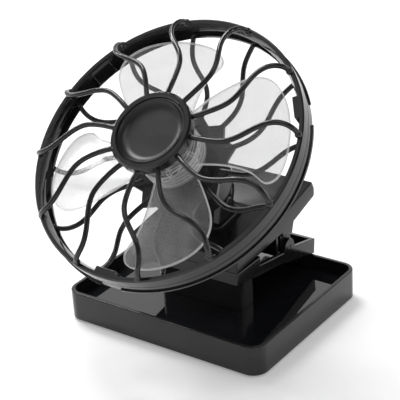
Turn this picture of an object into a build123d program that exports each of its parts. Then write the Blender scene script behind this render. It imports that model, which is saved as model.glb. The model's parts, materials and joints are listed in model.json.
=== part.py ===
from build123d import *

import math
import os

# Solar clip fan. Millimetres, +Z up, -Y towards the front, +X to the right seen from the front.
# The origin is the middle of the rubber base pad's underside, where the fan stands on a table.

# ---- shared -----------------------------------------------------------------------------------
FIT_GAP = 0.2  # gap round a part that drops into another
RUNNING_GAP = 0.06  # radial play of a turning fit
CUT = 1.0  # how far a cutting shape runs past the face it leaves through
EDGE_R = 0.8  # rounding of the moulded outer edges
PILOT_R = 1.1
CLEARANCE_R = 1.4
LEAD_R = 0.7

# screws as (shank radius, head radius, head thickness, length under the head)
COVER_SCREW = (1.0, 2.0, 0.9, 3.0)
POST_SCREW = (1.1, 2.6, 1.8, 9.0)
NECK_SCREW = (1.0, 2.2, 1.4, 5.0)
HOUSING_SCREW = (1.0, 2.0, 1.2, 8.0)
MOTOR_SCREW = (0.95, 1.9, 1.1, 3.2)

# ---- tray -------------------------------------------------------------------------------------
TRAY_W = 126.0
TRAY_D = 102.0
TRAY_H = 16.5
TRAY_CORNER_R = 8.5
TRAY_EDGE_R = 0.6
RIM_T = 2.0
PAD_T = 1.2
PAD_W = 94.0
PAD_D = 74.0
PAD_CORNER_R = 6.0
RECESS_DEPTH = 7.8
DECK_T = 1.6
COVER_T = 1.6
FLANGE_T = 2.0
TRAY_Z0 = PAD_T
COVER_TOP_Z = TRAY_Z0 + COVER_T
RIM_Z = TRAY_Z0 + TRAY_H

# cover screws and their bosses
SCREW_X = 53.5
SCREW_Y = 41.5
BOSS_R = 3.0
HEAD_SINK = COVER_SCREW[2] + 0.1
HEAD_HOLE_R = COVER_SCREW[1] + 0.3

# solar panel stack, from the deck upwards
BACKING_T = 1.6
CELL_T = 0.4
DECK_Z0 = COVER_TOP_Z + FLANGE_T
BACKING_Z0 = DECK_Z0 + DECK_T
CELL_Z0 = BACKING_Z0 + BACKING_T
WINDOW_Z0 = CELL_Z0 + CELL_T
WINDOW_TOP_Z = RIM_Z - RECESS_DEPTH
CELL_COLUMNS = 9
CELL_W = 12.6
CELL_PITCH = 13.2
CELL_BANKS = ((-46.5, -16.5), (6.5, 46.5))  # front and back edge of each bank
TERMINAL_XY = ((-18.0, 22.0), (18.0, 22.0))
TERMINAL_R = 1.8
TERMINAL_T = 1.2
TERMINAL_HOLE_R = 3.0
LEAD_HOLE_R = 0.9

# ---- post -------------------------------------------------------------------------------------
POST_W = 54.0
POST_D = 16.0
POST_Y = -5.0
POST_CORNER_R = 4.6
POST_WALL = 2.2
FOOT_MARGIN = 3.0
FOOT_CORNER_R = 4.0
POST_SCREW_X = 17.0
POST_BOSS_R = 3.4
POST_BOSS_Z0 = 18.0
POST_BOSS_FLOOR = 2.0
POST_PILOT_R = 1.2
LEAD_X = 5.0
LEAD_TOP_Z = 26.0
LEAD_OPENING_R = 6.5
LEAD_RUN_Z = COVER_TOP_Z + LEAD_R + FIT_GAP
LEAD_NOTCH_W = 40.0
LEAD_NOTCH_D = 14.0

# ---- clip -------------------------------------------------------------------------------------
CLIP_HALF_W = 34.5
CLIP_WALL = 2.2
CLIP_PLATE = 2.0
JAW_FRONT_Y = -24.8
JAW_BACK_Y = -2.5
JAW_Z = 41.0
JAW_GAP = 0.2
JAW_PLATE = 2.1
PIVOT_Y = 26.0
PIVOT_Z = 33.8
EAR_R = 4.6
EAR_SPREAD = 1.5
EAR_FOOT_Z = 30.5
LUG_FOOT_Z = 54.0
LUG_T = 2.2
LUG_GAP = 0.3
WEB_SIZE = (1.4, 8.0, 6.0)
WEB_Z = 51.0
RIB_Y = 17.6
RIB_T = 1.6
RIB_FOOT_Z = 31.2
RIB_NOTCH_W = 9.0
RIB_NOTCH_Z = 38.0
PIN_R = 1.5
PIN_END_GAP = 0.2
HANDLE_CORNER_R = 4.0
HANDLE_END_Y = 55.6
SEAT_T = 2.4
SEAT_PAD_R = 4.2
SEAT_PAD_DEPTH = 4.0
DRIVER_HOLE_R = 3.0
FAN_LEAD_HOLE_R = 2.0
FAN_LEAD_HOLE_Y = 21.4
JAW_PAD_W = 2 * CLIP_HALF_W - 10.0
JAW_PAD_D = 15.0
JAW_PAD_T = 1.0
JAW_PAD_RIB = 1.2
JAW_PAD_GROOVES = 5

SPRING_WIRE_R = 0.6
SPRING_MEAN_R = 4.0
SPRING_TURNS = 5.5
SPRING_X = 19.0
SPRING_PITCH = 1.6
SPRING_STEPS = 8  # path points in each turn
LEG_STEPS = 4
# leg ends measured from the pivot: (up, towards the front)
UPPER_LEG_END = (23.4, -17.0)
LOWER_LEG_END = (-10.2, -16.0)

# side outlines of the two halves as (y, z), starting at the jaw tip
LOWER_OUTLINE = (
    (JAW_FRONT_Y, JAW_Z - JAW_GAP / 2),
    (JAW_FRONT_Y - 0.4, 34.2),
    (-3.0, 29.8),
    (18.0, 26.6),
    (31.0, 22.6),
    (51.8, 17.6),
    (52.7, 26.6),
    (28.6, 32.0),
    (20.4, 32.6),
    (-3.4, 36.2),
    (JAW_BACK_Y, JAW_Z - JAW_GAP / 2),
)
LOWER_HOLLOW = (
    (JAW_FRONT_Y + 2.0, 38.8),
    (JAW_FRONT_Y + 1.8, 35.8),
    (-2.8, 31.9),
    (18.4, 28.6),
    (31.4, 24.7),
    (49.6, 21.4),
    (51.6, 50.0),
    (JAW_BACK_Y - 2.0, 50.0),
    (JAW_BACK_Y - 2.0, 38.8),
)
UPPER_OUTLINE = (
    (JAW_FRONT_Y + 0.2, JAW_Z + JAW_GAP / 2),
    (JAW_FRONT_Y + 0.2, 48.4),
    (22.4, 55.2),
    (51.0, 62.2),
    (HANDLE_END_Y, 54.0),
    (31.4, 46.8),
    (29.3, 40.6),
    (19.6, 42.4),
    (18.9, 44.6),
    (JAW_BACK_Y, 42.6),
)
UPPER_HOLLOW = (
    (JAW_FRONT_Y + 2.2, 44.0),
    (JAW_FRONT_Y + 2.2, 46.6),
    (22.7, 53.2),
    (49.4, 59.6),
    (53.4, 52.4),
    (53.4, 30.0),
    (JAW_BACK_Y - 2.0, 30.0),
    (JAW_BACK_Y - 2.0, 44.4),
)

# ---- tilt joint -------------------------------------------------------------------------------
TILT_Y = 5.2
TILT_Z = 63.6
TILT_BOLT_R = 2.0
TONGUE_HALF_T = 5.0
CLEVIS_GAP = 0.2
CLEVIS_T = 3.6
CLEVIS_R = 6.0
CLEVIS_FLARE = 2.5
CLEVIS_SINK = 1.0
BRACKET_W = 23.0
BRACKET_D = 24.0
BRACKET_T = 2.5
BRACKET_CORNER_R = 4.0
NECK_SCREW_X = 7.0
NECK_SCREW_Y = 5.2
NECK_PILOT_DEPTH = 4.4
NUT_FLATS = 7.0
NUT_T = 3.2
BOLT_HEAD_R = 3.2
BOLT_HEAD_T = 2.0
BOLT_SLOT_W = 1.0
BOLT_SLOT_DEPTH = 0.8

# ---- fan head, in its own frame: z is the fan's axis, 0 at the guard ring's front face ------------
HEAD_TILT = 50.0
HEAD_CENTRE = (0.0, -34.1, 110.4)
GUARD_R = 75.0
RING_WALL = 2.2
RING_EDGE = 0.7
RIM_FACE_IN_R = 72.6
INNER_FACE_R = 71.2
INNER_FACE_TOP = -3.5
INNER_FACE_BACK = -4.8
FRONT_RING_DEPTH = 6.4
REAR_RING_TOP = -6.8
REAR_RING_BACK = -12.4
REAR_FLANGE_T = 1.6
LIP_R = 75.8
LIP_T = 1.6
LIP_EDGE = 0.4
LIP_GAP_W = 12.8
LIP_GAP_SINK = 0.1  # the wall is cut this much thinner where the lip is left out
SPOKES = 12
SPOKE_R = 1.35
KNOB_R = 1.9
FRONT_KNOB = (73.0, 16.4, 0.3)
REAR_KNOB = (73.0, 17.4, -11.6)
LATCH_ANGLES = (30.0, 150.0, 270.0)
LATCH_W = 12.0
LATCH_T = 3.0
LATCH_R = 69.3
LATCH_FRONT = -1.0
LATCH_BACK = -10.4
LATCH_EDGE_R = 0.5
NIB_W = 8.0
NIB_H = 1.6
NIB_OUT = 1.5
NIB_ROOT = 0.2
NIB_Z = LATCH_BACK + 1.0

# spoke knots as (radius, angle, height): the rod runs straight out, swings, then runs straight again
FRONT_SPOKE = (
    (21.0, 6.0, 12.6),
    (26.0, 4.6, 13.0),
    (34.0, 4.2, 13.0),
    (42.0, 6.0, 12.6),
    (50.0, 11.8, 11.8),
    (58.0, 17.4, 10.4),
    (66.0, 19.0, 7.8),
    (71.4, 17.6, 4.2),
    (73.0, 16.4, -0.6),
)
REAR_SPOKE = (
    (23.0, 5.4, -22.7),
    (30.0, 4.8, -22.6),
    (38.0, 5.0, -22.0),
    (46.0, 8.6, -21.0),
    (54.0, 15.2, -19.6),
    (62.0, 19.0, -17.6),
    (69.5, 18.8, -14.6),
    (73.0, 17.4, -11.6),
)

# cap in the middle of the front guard
CAP_R = 22.2
CAP_LIP_IN_R = 18.8
CAP_FRONT = 16.0
CAP_EDGE = 1.0
CAP_SMALL_EDGE = 0.5
DISH_FLAT_R = 12.6
DISH_DEPTH = 3.6
DISC_T = 1.2
DISC_RIM = 0.9
DISC_Z0 = CAP_FRONT - DISH_DEPTH - DISC_T
SHELF_T = 1.0
SHELF_W = 4.0
CAP_BACK = DISC_Z0 - SHELF_T

# rear hub plate, motor and its housing
HUB_TIP_R = 30.0
HUB_HOLLOW_R = 25.0
HUB_TIP_ANGLE = 5.0
HUB_PLATE_T = 2.4
HUB_PLATE_FRONT = -22.0
HUB_PLATE_BACK = HUB_PLATE_FRONT - HUB_PLATE_T
HUB_EDGE_R = 0.5
HOUSING_R = 18.5
HOUSING_WALL = 1.8
HOUSING_BACK = -48.0
HOUSING_EDGE_R = 4.0
HOUSING_BOSS_AT = 14.9
HOUSING_BOSS_R = 2.2
HOUSING_BOSS_ANGLES = (90.0, 210.0, 330.0)
HOUSING_CLEARANCE_R = 1.3
TONGUE_SINK = 1.0
HOUSING_LEAD_HOLE_R = 2.0
HOUSING_LEAD_OFFSET = 8.5
MOTOR_LEAD_X = 0.9
MOTOR_LEAD_OUT = 3.0
CAN_R = 12.2
CAN_LEN = 12.3
CAN_WALL = 0.8
CAN_EDGE_R = 0.7
CAN_BACK = HUB_PLATE_BACK - CAN_LEN
END_CAP_T = 1.6
COLLAR_WALL = 1.2
BUSH_R = 3.0
REAR_BUSH_R = 2.4
BUSH_STAND = 1.2
BUSH_T = 2.4
REAR_BUSH_OUT = 0.6
SHAFT_R = 1.0
SHAFT_FRONT = -4.0
SHAFT_OUT = 0.4
MOTOR_SCREW_AT = 8.5
MAGNET_T = 2.4
MAGNET_SPAN = 140.0
MAGNET_FRONT_GAP = 1.0
MAGNET_BACK_GAP = 0.6
ARMATURE_R = 8.4
ARMATURE_HUB_R = 3.0
ARMATURE_LEN = 5.4
ARMATURE_POLES = 3
ARMATURE_FRONT_GAP = 0.8
POLE_W = 2.6
SHOE_T = 1.4
SHOE_SPAN = 84.0
COIL_W = 5.0
COIL_X = 5.0
COIL_LEN = 3.2
COIL_OUT = 0.5
COMMUTATOR_R = 2.2
COMMUTATOR_LEN = 2.2
COMMUTATOR_GAP = 0.7
TERMINAL_X = 6.5
BLADE_TERMINAL = (0.6, 2.6, 6.0)
BRUSH_W = 1.4
BRUSH_T = 0.6
BRUSH_LIFT = 0.5
BRUSH_GAP = 0.3
MOTOR_LEAD_TOP = 4.0
MOTOR_LEAD_KNEE = 5.5

# ---- rotor ------------------------------------------------------------------------------------
BLADES = 4
BLADE_PHASE = 25.0
ROTOR_HUB_R = 17.2
ROTOR_HUB_WALL = 1.6
ROTOR_HUB_CHAMFER = 2.0
ROTOR_FRONT = -1.6
ROTOR_BACK = -14.0
ROTOR_BOSS_R = 3.2
HUB_RING_RADII = (7.0, 11.5)
HUB_RING_T = 1.0
HUB_RING_H = 4.0
HUB_RIBS = 6
HUB_RIB_SIZE = (14.0, 1.0, 5.0)
HUB_RIB_AT = (9.4, -5.1)
GROOVE_HEIGHTS = (-5.0, -7.4, -9.8, -12.2)
GROOVE_DEPTH = 0.6
GROOVE_HALF_W = 0.45
BLADE_T = 1.2
BLADE_MID = -7.0
BLADE_ROOT = 0.8
# blade strips as (radius, chord, pitch in degrees)
BLADE_SECTIONS = ((11.0, 31.0, 26.0), (30.0, 52.0, 19.0), (50.0, 66.0, 14.5), (70.0, 78.0, 12.5))
BLADE_CAMBER = 1.6
# blade outline seen along the axis as (radius, angle from the blade's middle)
BLADE_OUTLINE = (
    (15.0, -36.0),
    (28.0, -25.0),
    (40.0, -23.6),
    (49.0, -25.4),
    (56.0, -27.6),
    (61.0, -24.6),
    (64.2, -16.0),
    (65.6, -5.0),
    (66.2, 6.0),
    (65.6, 15.0),
    (62.5, 23.5),
    (56.0, 29.4),
    (46.0, 33.6),
    (33.0, 39.0),
    (15.0, 47.0),
)


# ---- helpers ------------------------------------------------------------------------------------
def cylinder(radius, z0, z1, x=0.0, y=0.0):
    """Solid cylinder along Z between two heights."""
    return Pos(x, y, z0) * extrude(Circle(radius), z1 - z0)


def tube(outer, inner, z0, z1):
    """Plain ring along Z."""
    return Pos(0, 0, z0) * extrude(Circle(outer) - Circle(inner), z1 - z0)


def slab(width, depth, corner, z0, z1, y=0.0):
    """Flat block with rounded vertical corners."""
    return Pos(0, y, z0) * extrude(RectangleRounded(width, depth, corner), z1 - z0)


def prism_x(points, x0, x1):
    """Outline in the side plane, given as (y, z), drawn out along X."""
    outline = make_face(Polyline(*points, close=True))
    return Pos(x0, 0, 0) * extrude(Plane.YZ * outline, x1 - x0)


def rod_x(radius, x0, x1, y, z):
    """Round bar along X."""
    return Pos(x0, y, z) * extrude(Plane.YZ * Circle(radius), x1 - x0)


def both_sides(shape):
    """The shape and its mirror image across the middle plane."""
    return [shape, mirror(shape, about=Plane.YZ)]


def on_polar(radius, angle, z):
    """Point on the fan head given by radius, angle in degrees and height."""
    a = math.radians(angle)
    return Vector(radius * math.cos(a), radius * math.sin(a), z)


def cross_recess(size, depth, z):
    """Cross-shaped driver recess cut down from height z."""
    bar = Pos(0, 0, z - depth / 2) * Box(size, size / 4, depth)
    return bar + Rot(0, 0, 90) * bar


def pan_screw(shank_r, head_r, head_t, length):
    """Pan-head screw: head from z = 0 up, shank down."""
    head = fillet(cylinder(head_r, 0, head_t).edges().group_by(Axis.Z)[-1], head_t * 0.4)
    return cylinder(shank_r, -length, 0) + head - cross_recess(head_r * 1.2, head_t * 0.5, head_t)


def end_edges(body):
    """Edges of a prism's two end faces across X."""
    faces = body.faces().sort_by(Axis.X)
    return faces[0].edges() + faces[-1].edges()


def head_frame():
    """The fan head's own frame, tilted back from facing straight ahead."""
    a = math.radians(HEAD_TILT)
    return Plane(origin=HEAD_CENTRE, x_dir=(1, 0, 0), z_dir=(0, -math.cos(a), math.sin(a))).location


def save(node, shape):
    """Writes one node; a list becomes a group of solids."""
    if isinstance(shape, (list, tuple)):
        shape = Compound(children=[s for part in shape for s in part.solids()])
    export_step(shape, f"parts/{node}.step")


# ---- tray and solar panel -----------------------------------------------------------------------
def corner_points():
    return [(sx * SCREW_X, sy * SCREW_Y) for sx in (-1, 1) for sy in (-1, 1)]


def post_slot(z0, z1, margin):
    """Hole for the post through a plate."""
    return slab(POST_W + 2 * margin, POST_D + 2 * margin, POST_CORNER_R + margin, z0, z1, POST_Y)


def base_tray():
    """Tray with a raised rim, a deck for the panel and a hollow underneath."""
    body = slab(TRAY_W, TRAY_D, TRAY_CORNER_R, TRAY_Z0, RIM_Z)
    body = fillet(body.edges().group_by(Axis.Z)[-1], TRAY_EDGE_R)
    inner_w = TRAY_W - 2 * RIM_T
    inner_d = TRAY_D - 2 * RIM_T
    inner_r = TRAY_CORNER_R - RIM_T
    body -= slab(inner_w, inner_d, inner_r, BACKING_Z0, RIM_Z + CUT)
    body -= slab(inner_w, inner_d, inner_r, TRAY_Z0 - CUT, DECK_Z0)
    for x, y in corner_points():
        body += cylinder(BOSS_R, COVER_TOP_Z, DECK_Z0 + DECK_T / 2, x, y)
        body -= cylinder(PILOT_R, COVER_TOP_Z - CUT, DECK_Z0 + DECK_T / 2, x, y)
    for x, y in TERMINAL_XY:
        body -= cylinder(TERMINAL_HOLE_R, DECK_Z0 - CUT, BACKING_Z0 + CUT, x, y)
    return body - post_slot(DECK_Z0 - CUT, BACKING_Z0 + CUT, FIT_GAP)


def inner_plate(z0, z1):
    """Plate that drops inside the tray's rim."""
    return slab(
        TRAY_W - 2 * RIM_T - 2 * FIT_GAP,
        TRAY_D - 2 * RIM_T - 2 * FIT_GAP,
        TRAY_CORNER_R - RIM_T - FIT_GAP,
        z0,
        z1,
    )


def bottom_cover():
    """Plate that closes the tray from below, with sunk holes for the screw heads."""
    cover = inner_plate(TRAY_Z0, COVER_TOP_Z)
    for x, y in corner_points():
        cover -= cylinder(CLEARANCE_R, TRAY_Z0 - CUT, COVER_TOP_Z + CUT, x, y)
        cover -= cylinder(HEAD_HOLE_R, TRAY_Z0 - CUT, TRAY_Z0 + HEAD_SINK, x, y)
    return cover


def cover_screws():
    screw = Rot(180, 0, 0) * pan_screw(*COVER_SCREW)
    return [Pos(x, y, TRAY_Z0 + HEAD_SINK) * screw for x, y in corner_points()]


def base_pad():
    return slab(PAD_W, PAD_D, PAD_CORNER_R, 0, PAD_T)


def panel_backing():
    """Board that carries the cells, with a clear hole round the post and two lead holes."""
    board = inner_plate(BACKING_Z0, CELL_Z0) - post_slot(BACKING_Z0 - CUT, CELL_Z0 + CUT, FIT_GAP)
    for x, y in TERMINAL_XY:
        board -= cylinder(LEAD_HOLE_R, BACKING_Z0 - CUT, CELL_Z0 + CUT, x, y)
    return board


def solar_cells():
    """Two banks of cell strips, in front of the post and behind it."""
    cells = []
    for y0, y1 in CELL_BANKS:
        for i in range(CELL_COLUMNS):
            x = (i - (CELL_COLUMNS - 1) / 2) * CELL_PITCH
            cell = Pos(x, (y0 + y1) / 2, CELL_Z0 + CELL_T / 2) * Box(CELL_W, y1 - y0, CELL_T)
            cells.append(cell)
    return cells


def panel_window():
    """Clear cover sheet over the cells."""
    return inner_plate(WINDOW_Z0, WINDOW_TOP_Z) - post_slot(WINDOW_Z0 - CUT, RIM_Z, FIT_GAP)


def panel_terminals():
    """Two soldered tabs under the backing board."""
    return [cylinder(TERMINAL_R, BACKING_Z0 - TERMINAL_T, BACKING_Z0, x, y) for x, y in TERMINAL_XY]


def wire_run(start, end):
    """Straight length of covered wire."""
    span = end - start
    return extrude(Plane(origin=start, z_dir=span.normalized()) * Circle(LEAD_R), span.length)


def panel_leads():
    """Two wires from the terminals, under the deck and up inside the post."""
    leads = []
    for sx, (x, y) in zip((-1, 1), TERMINAL_XY):
        corner = Vector(x, y, LEAD_RUN_Z)
        inside = Vector(sx * LEAD_X, POST_Y, LEAD_RUN_Z)
        lead = cylinder(LEAD_R, LEAD_RUN_Z, BACKING_Z0 - TERMINAL_T, x, y)
        lead += cylinder(LEAD_R, LEAD_RUN_Z, LEAD_TOP_Z, inside.X, inside.Y)
        lead += wire_run(corner, inside)
        for bend in (corner, inside):
            lead += Pos(bend) * Sphere(LEAD_R)
        leads.append(lead)
    return leads


# ---- post ---------------------------------------------------------------------------------------
def clip_underside(level, margin=0.0):
    """Everything between the clip's sloping underside and a level above or below it."""
    (y0, z0), (y1, z1), (y2, z2) = LOWER_OUTLINE[1:4]
    outline = ((y0, z0 - margin), (y1, z1 - margin), (y2, z2 - margin), (y2, level), (y0, level))
    return prism_x(outline, -CLIP_HALF_W, CLIP_HALF_W)


def underside_z(y):
    """Height of the clip's underside at a given depth."""
    (y0, z0), (y1, z1) = LOWER_OUTLINE[1:3]
    return z0 + (z1 - z0) * (y - y0) / (y1 - y0)


def clip_post():
    """Hollow upright with a foot held between the deck and the bottom cover."""
    above = clip_underside(TILT_Z)
    body = slab(POST_W, POST_D, POST_CORNER_R, COVER_TOP_Z, JAW_Z, POST_Y)
    hollow = slab(
        POST_W - 2 * POST_WALL,
        POST_D - 2 * POST_WALL,
        POST_CORNER_R - POST_WALL,
        COVER_TOP_Z - CUT,
        JAW_Z,
        POST_Y,
    )
    foot_w = POST_W + 2 * FOOT_MARGIN
    foot_d = POST_D + 2 * FOOT_MARGIN
    body += slab(foot_w, foot_d, FOOT_CORNER_R, COVER_TOP_Z, DECK_Z0, POST_Y)
    body -= hollow - clip_underside(TILT_Z, POST_WALL)
    body -= above
    for sx in (-1, 1):
        x = sx * POST_SCREW_X
        body += cylinder(POST_BOSS_R, POST_BOSS_Z0, JAW_Z, x, POST_Y) - above
        body -= cylinder(POST_PILOT_R, POST_BOSS_Z0 + POST_BOSS_FLOOR, JAW_Z, x, POST_Y)
    body -= cylinder(LEAD_OPENING_R, POST_BOSS_Z0, JAW_Z, 0, POST_Y)
    notch_y = POST_Y + foot_d / 2
    notch_h = 2 * (FLANGE_T - FIT_GAP)
    return body - Pos(0, notch_y, COVER_TOP_Z) * Box(LEAD_NOTCH_W, LEAD_NOTCH_D, notch_h)


def post_screws():
    top = underside_z(POST_Y) + SEAT_T
    return [Pos(sx * POST_SCREW_X, POST_Y, top) * pan_screw(*POST_SCREW) for sx in (-1, 1)]


# ---- clip ---------------------------------------------------------------------------------------
def ears(foot_z, x0, x1):
    """Rounded hinge ears round the clip's pivot, one on each side."""
    foot = EAR_R + EAR_SPREAD
    block = prism_x(
        (
            (PIVOT_Y - EAR_R, PIVOT_Z),
            (PIVOT_Y - foot, foot_z),
            (PIVOT_Y + foot, foot_z),
            (PIVOT_Y + EAR_R, PIVOT_Z),
        ),
        x0,
        x1,
    )
    return both_sides(block + rod_x(EAR_R, x0, x1, PIVOT_Y, PIVOT_Z))


def clip_lower():
    """Fixed half: channel with a boxed jaw, open-topped handle and hinge ears."""
    w = CLIP_HALF_W
    body = prism_x(LOWER_OUTLINE, -w, w)
    body = fillet(end_edges(body), EDGE_R)
    for ear in ears(EAR_FOOT_Z, w - CLIP_WALL, w):
        body += ear
    body -= prism_x(LOWER_HOLLOW, -w + CLIP_WALL, w - CLIP_WALL)
    seat_z = underside_z(POST_Y) + SEAT_T
    below = clip_underside(0.0)
    for sx in (-1, 1):
        x = sx * POST_SCREW_X
        body += cylinder(SEAT_PAD_R, seat_z - SEAT_PAD_DEPTH, seat_z, x, POST_Y) - below
        body -= cylinder(CLEARANCE_R, seat_z - 2 * SEAT_PAD_DEPTH, seat_z + CUT, x, POST_Y)
        body -= cylinder(DRIVER_HOLE_R, seat_z, JAW_Z + CUT, x, POST_Y)
    body -= cylinder(LEAD_OPENING_R, 0, JAW_Z - JAW_PLATE - CUT, 0, POST_Y)
    body -= rod_x(PIN_R, -w - CUT, w + CUT, PIVOT_Y, PIVOT_Z)
    return body - jaw_pad_space(-1)


def jaw_middle_y():
    return (JAW_FRONT_Y + JAW_BACK_Y) / 2


def jaw_pad_space(side):
    """Shallow pocket in a jaw face; side is -1 for the lower jaw and 1 for the upper."""
    z = JAW_Z + side * (JAW_GAP / 2 + JAW_PAD_T / 2)
    return Pos(0, jaw_middle_y(), z) * Box(JAW_PAD_W, JAW_PAD_D, JAW_PAD_T)


def jaw_pad(side):
    """Rubber grip strip with grooves across it."""
    face = JAW_Z + side * JAW_GAP / 2
    z = face + side * JAW_PAD_T / 2
    pad = Pos(0, jaw_middle_y(), z) * Box(JAW_PAD_W - 2 * FIT_GAP, JAW_PAD_D - 2 * FIT_GAP, JAW_PAD_T)
    for i in range(JAW_PAD_GROOVES):
        y = jaw_middle_y() + (2 * i + 1 - JAW_PAD_GROOVES) * JAW_PAD_RIB
        pad -= Pos(0, y, face) * Box(JAW_PAD_W, JAW_PAD_RIB, JAW_PAD_T)
    return pad


def lug_face_x():
    """How far out the parts of the upper half that dip between the lower half's walls may reach."""
    return CLIP_HALF_W - CLIP_WALL - LUG_GAP


def clip_upper():
    """Moving half: inverted channel with a boxed jaw, bent-up handle and hinge lugs."""
    w = CLIP_HALF_W
    body = round_handle_corners(prism_x(UPPER_OUTLINE, -w, w))
    body = fillet(end_edges(body), EDGE_R)
    body -= prism_x(UPPER_HOLLOW, -w + CLIP_WALL, w - CLIP_WALL)
    for lug in ears(LUG_FOOT_Z, lug_face_x() - LUG_T, lug_face_x()):
        body += lug
    for web in both_sides(Pos(w - CLIP_WALL - LUG_GAP, PIVOT_Y, WEB_Z) * Box(*WEB_SIZE)):
        body += web
    body += cross_rib()
    body -= rod_x(PIN_R + RUNNING_GAP, -w, w, PIVOT_Y, PIVOT_Z)
    body -= jaw_pad_space(1)
    body -= cylinder(FAN_LEAD_HOLE_R, PIVOT_Z, TILT_Z, 0, FAN_LEAD_HOLE_Y)
    for x, y in neck_screw_points():
        body -= cylinder(CLEARANCE_R, JAW_Z, TILT_Z, x, y)
    return body


def cross_rib():
    """Stiffening wall across the upper half, just ahead of the springs, notched for the fan's leads."""
    half = lug_face_x()
    top = top_z(RIB_Y) - CLIP_PLATE / 2
    rib = Pos(0, RIB_Y, (RIB_FOOT_Z + top) / 2) * Box(2 * half, RIB_T, top - RIB_FOOT_Z)
    return rib - Pos(0, RIB_Y, RIB_NOTCH_Z - RIB_FOOT_Z) * Box(RIB_NOTCH_W, 2 * RIB_T, 2 * RIB_FOOT_Z)


def round_handle_corners(body):
    """Rounds the two back corners of the handle, seen from above."""
    r = HANDLE_CORNER_R
    for sx in (-1, 1):
        x = sx * (CLIP_HALF_W - r)
        y = HANDLE_END_Y - r
        corner = Pos(x + sx * r / 2, y + r / 2, TILT_Z) * Box(r, r, TILT_Z)
        body -= corner - Pos(x, y, TILT_Z) * Cylinder(r, TILT_Z)
    return body


def clip_pin():
    w = CLIP_HALF_W - PIN_END_GAP
    return rod_x(PIN_R, -w, w, PIVOT_Y, PIVOT_Z)


def leg_points(far, near):
    """Points along a spring leg, from its far end up to the coil."""
    return [far + (near - far) * (i / LEG_STEPS) for i in range(LEG_STEPS)]


def spring_path():
    """Middle line of a spring: leg, coil and leg, with the coil's axis along Z."""
    steps = int(SPRING_TURNS * SPRING_STEPS)
    height = SPRING_TURNS * SPRING_PITCH
    coil = [on_polar(SPRING_MEAN_R, 360 * i / SPRING_STEPS, height * i / steps) for i in range(steps + 1)]
    top = leg_points(Vector(*UPPER_LEG_END, 0), coil[0])
    bottom = leg_points(Vector(*LOWER_LEG_END, height), coil[-1])
    return Spline(*top, *coil, *reversed(bottom))


def clip_springs():
    """Two springs, one on each side, wound between the lugs."""
    path = spring_path()
    wire = sweep(Plane(origin=path @ 0, z_dir=path % 0) * Circle(SPRING_WIRE_R), path=path)
    # local z becomes X and local x becomes up, so both legs leave the coil towards the handles
    turn = Plane(origin=(SPRING_X, PIVOT_Y, PIVOT_Z), x_dir=(0, 0, 1), z_dir=(1, 0, 0)).location
    return both_sides(turn * wire)


# ---- tilt joint ---------------------------------------------------------------------------------
def top_slope():
    """Slope of the clip's top face, in degrees."""
    (y0, z0), (y1, z1) = UPPER_OUTLINE[1:3]
    return math.degrees(math.atan2(z1 - z0, y1 - y0))


def top_z(y):
    """Height of the clip's top face at a given depth."""
    (y0, z0), (y1, z1) = UPPER_OUTLINE[1:3]
    return z0 + (z1 - z0) * (y - y0) / (y1 - y0)


def neck_screw_points():
    return [(sx * NECK_SCREW_X, TILT_Y + sy * NECK_SCREW_Y) for sx in (-1, 1) for sy in (-1, 1)]


def neck_bracket():
    """Base plate on the clip's top with two clevis ears for the tilt bolt."""
    seat = Pos(0, TILT_Y, top_z(TILT_Y)) * Rot(top_slope(), 0, 0)
    plate = extrude(RectangleRounded(BRACKET_W, BRACKET_D, BRACKET_CORNER_R), BRACKET_T)
    plate = fillet(plate.edges().group_by(Axis.Z)[-1], EDGE_R)
    body = seat * plate
    x0 = TONGUE_HALF_T + CLEVIS_GAP
    x1 = x0 + CLEVIS_T
    y0 = TILT_Y - CLEVIS_R - CLEVIS_FLARE
    y1 = TILT_Y + CLEVIS_R + CLEVIS_FLARE
    ear = prism_x(
        (
            (TILT_Y - CLEVIS_R, TILT_Z),
            (y0, top_z(y0) + CLEVIS_SINK),
            (y1, top_z(y1) + CLEVIS_SINK),
            (TILT_Y + CLEVIS_R, TILT_Z),
        ),
        x0,
        x1,
    )
    ear += rod_x(CLEVIS_R, x0, x1, TILT_Y, TILT_Z)
    ear = fillet(ear.faces().sort_by(Axis.X)[-1].edges(), EDGE_R)
    for side in both_sides(ear):
        body += side
    body -= rod_x(TILT_BOLT_R, -x1 - CUT, x1 + CUT, TILT_Y, TILT_Z)
    for x, y in neck_screw_points():
        body -= cylinder(PILOT_R, JAW_Z, top_z(y) + NECK_PILOT_DEPTH, x, y)
    return body


def neck_screws():
    """Screws driven up from inside the clip into the bracket."""
    screw = Rot(180, 0, 0) * pan_screw(*NECK_SCREW)
    head_drop = CLIP_PLATE + math.tan(math.radians(top_slope())) * NECK_SCREW[1] + RUNNING_GAP
    return [Pos(x, y, top_z(y) - head_drop) * screw for x, y in neck_screw_points()]


def tilt_bolt():
    """Bolt across the clevis, with a slotted head on the right."""
    x1 = TONGUE_HALF_T + CLEVIS_GAP + CLEVIS_T
    x2 = x1 + BOLT_HEAD_T
    shank = rod_x(TILT_BOLT_R, -x1 - NUT_T, x1, TILT_Y, TILT_Z)
    head = rod_x(BOLT_HEAD_R, x1, x2, TILT_Y, TILT_Z)
    head = fillet(head.edges().group_by(Axis.X)[-1], EDGE_R)
    slot = Pos(x2, TILT_Y, TILT_Z) * Box(2 * BOLT_SLOT_DEPTH, 3 * BOLT_HEAD_R, BOLT_SLOT_W)
    return shank + (head - slot)


def tilt_nut():
    x1 = TONGUE_HALF_T + CLEVIS_GAP + CLEVIS_T
    blank = Plane.YZ * RegularPolygon(NUT_FLATS / 2, 6, major_radius=False)
    nut = Pos(-x1 - NUT_T, TILT_Y, TILT_Z) * extrude(blank, NUT_T)
    return nut - rod_x(TILT_BOLT_R, -x1 - NUT_T - CUT, -x1 + CUT, TILT_Y, TILT_Z)


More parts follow.
